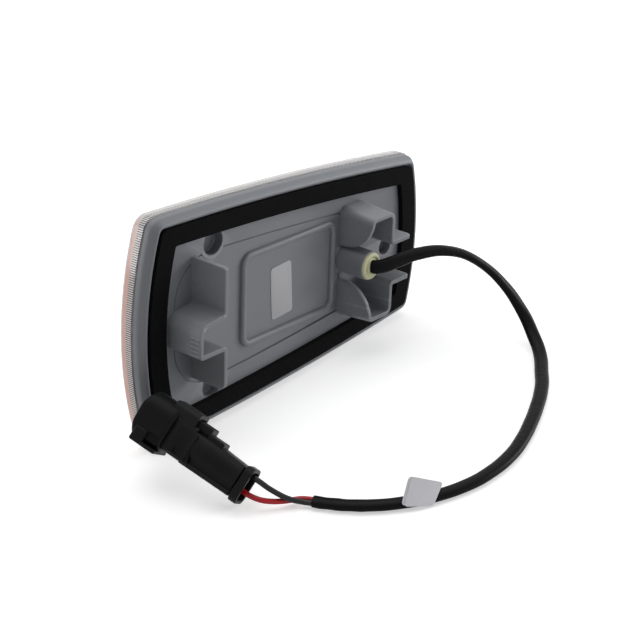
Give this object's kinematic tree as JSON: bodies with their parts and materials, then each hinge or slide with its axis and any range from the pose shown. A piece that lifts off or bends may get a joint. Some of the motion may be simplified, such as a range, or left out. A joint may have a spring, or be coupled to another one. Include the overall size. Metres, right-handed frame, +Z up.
{
  "type": "side repeater lamp",
  "caption": "Car side repeater lamp with a tapered clear lens, grey back with snap clips, foam gasket and a short two-wire lead that ends in a sealed plug.",
  "frame": {"origin": "bottom centre of the lamp's bounding box, without the free lead and plug, as it stands on its lower edge", "axes": "+X along the lamp from its tall end to its short end, +Y out of the lens, +Z up"},
  "size_m": [0.1543, 0.102, 0.0761],
  "materials": {
    "housing_grey": "fine moulded grain, satin on the clip edges",
    "foam_black": "closed-cell foam",
    "lens_clear": "clear, faintly pink acrylic",
    "lens_amber": "translucent amber",
    "reflector_white": "white, bright",
    "board_green": "solder mask over glass laminate",
    "led": "cream package with a yellow die cover",
    "resistor": "black film over ceramic",
    "diode_black": "moulded",
    "grommet_cream": "cream, slightly translucent",
    "sleeve_black": "smooth satin jacket",
    "wire_black": "satin insulation",
    "wire_red": "satin insulation",
    "plug_black": "fine grain nylon",
    "lock_black": "fine grain nylon",
    "seal_red": "silicone",
    "terminal_tin": "tin plated",
    "label_white": "bare white label film"
  },
  "bodies": {
    "root": {"rear_housing": "housing_grey", "foam_gasket": "foam_black", "outer_lens": "lens_clear", "amber_inner_lens": "lens_amber", "reflector_plate": "reflector_white", "circuit_board": "board_green", "led_1": "led", "led_2": "led", "led_3": "led", "led_4": "led", "led_5": "led", "led_6": "led", "resistor_1": "resistor", "resistor_2": "resistor", "resistor_3": "resistor", "resistor_4": "resistor", "protection_diode": "diode_black", "cable_grommet": "grommet_cream", "inner_wire_black": "wire_black", "inner_wire_red": "wire_red", "cable_sleeve": "sleeve_black", "wire_black": "wire_black", "wire_red": "wire_red", "plug_body": "plug_black", "plug_lock": "lock_black", "wire_seal_black": "seal_red", "wire_seal_red": "seal_red", "terminal_black": "terminal_tin", "terminal_red": "terminal_tin", "date_label": "label_white", "flag_label": "label_white"}
  },
  "joints": []
}
